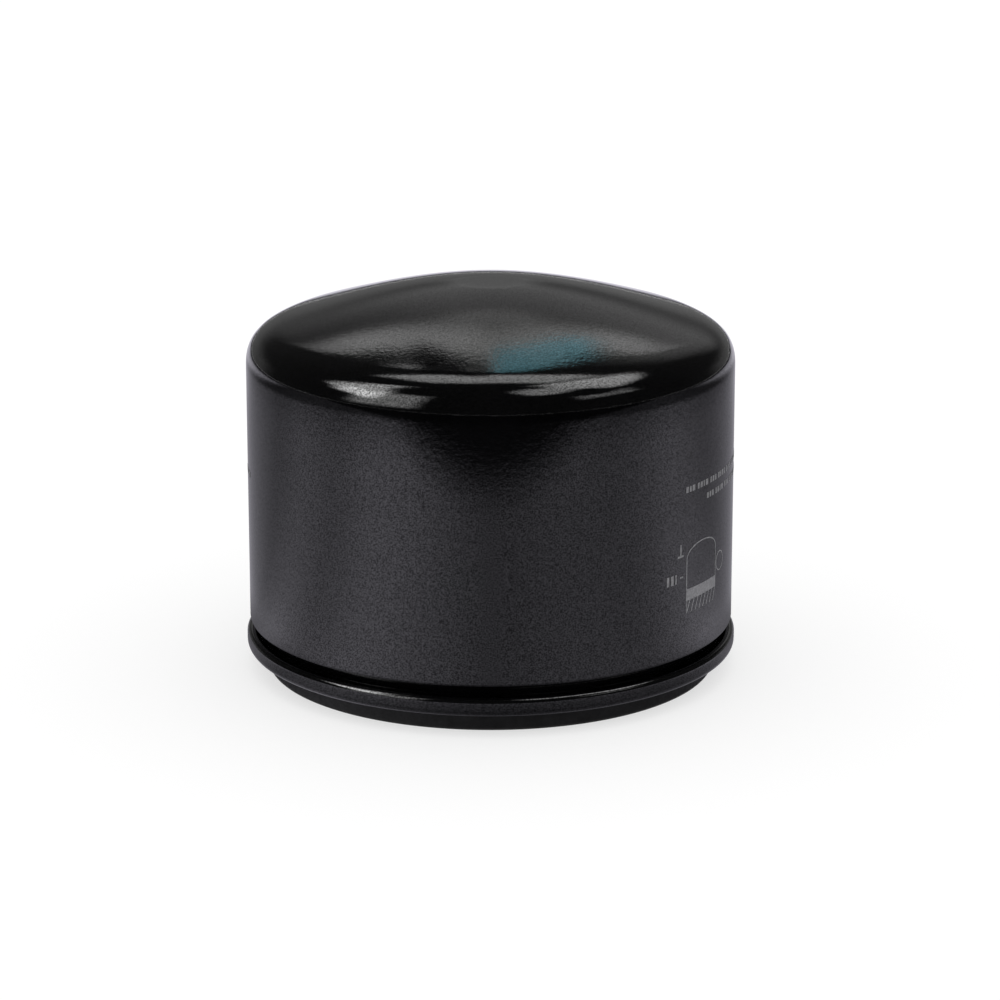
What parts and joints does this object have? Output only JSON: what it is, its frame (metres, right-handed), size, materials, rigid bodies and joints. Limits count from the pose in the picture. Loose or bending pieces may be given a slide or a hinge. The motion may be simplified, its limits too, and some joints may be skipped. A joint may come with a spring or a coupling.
{
  "type": "spin-on oil filter",
  "caption": "Short spin-on oil filter with a domed painted canister, rolled seam, face gasket, threaded plate, pleated element, drain-back valve and bypass valve.",
  "frame": {"origin": "centre of the gasket's sealing face, on the thread's axis, where the filter meets the engine's filter pad", "axes": "+Z along the thread's axis from the sealing face to the top of the dome; -Y is the side the picture is taken from"},
  "size_m": [0.077, 0.077, 0.0612],
  "materials": {
    "black_paint": "gloss black baked enamel with fine orange peel",
    "seam_compound": "cured can-end sealing compound",
    "zinc_plate": "zinc-plated stamped steel",
    "gasket_rubber": "matt black nitrile",
    "valve_rubber": "satin red-brown silicone",
    "tin_plate": "tinned sheet steel",
    "plastisol": "grey potting compound",
    "filter_paper": "resin-treated cellulose filter paper",
    "spring_steel": "tempered spring steel"
  },
  "bodies": {
    "root": {"canister": "black_paint", "seaming_lid": "black_paint", "seam_compound": "seam_compound", "thread_plate": "zinc_plate", "sealing_gasket": "gasket_rubber", "drainback_valve_collar": "valve_rubber", "lower_end_cap": "tin_plate", "upper_end_cap": "tin_plate", "center_tube": "tin_plate", "lower_potting": "plastisol", "upper_potting": "plastisol", "pleated_media": "filter_paper", "media_seam_clip": "tin_plate", "bypass_cage": "tin_plate", "bypass_spring": "spring_steel", "element_spring": "spring_steel"},
    "drainback_lip": {"drainback_valve_lip": "valve_rubber"},
    "bypass_valve": {"bypass_poppet": "tin_plate", "bypass_stem": "spring_steel", "bypass_seal": "valve_rubber"}
  },
  "joints": [
    {"name": "drainback_lift", "type": "slide", "parent": "root", "child": "drainback_lip", "axis": [0, 0, 1], "range_m": [0, 0.001], "stiffness_N_per_m": 60, "springref_m": -0.001},
    {"name": "bypass_open", "type": "slide", "parent": "root", "child": "bypass_valve", "axis": [0, 0, -1], "range_m": [0, 0.0025], "stiffness_N_per_m": 1300, "springref_m": -0.0003, "deforming": ["bypass_spring"]}
  ]
}
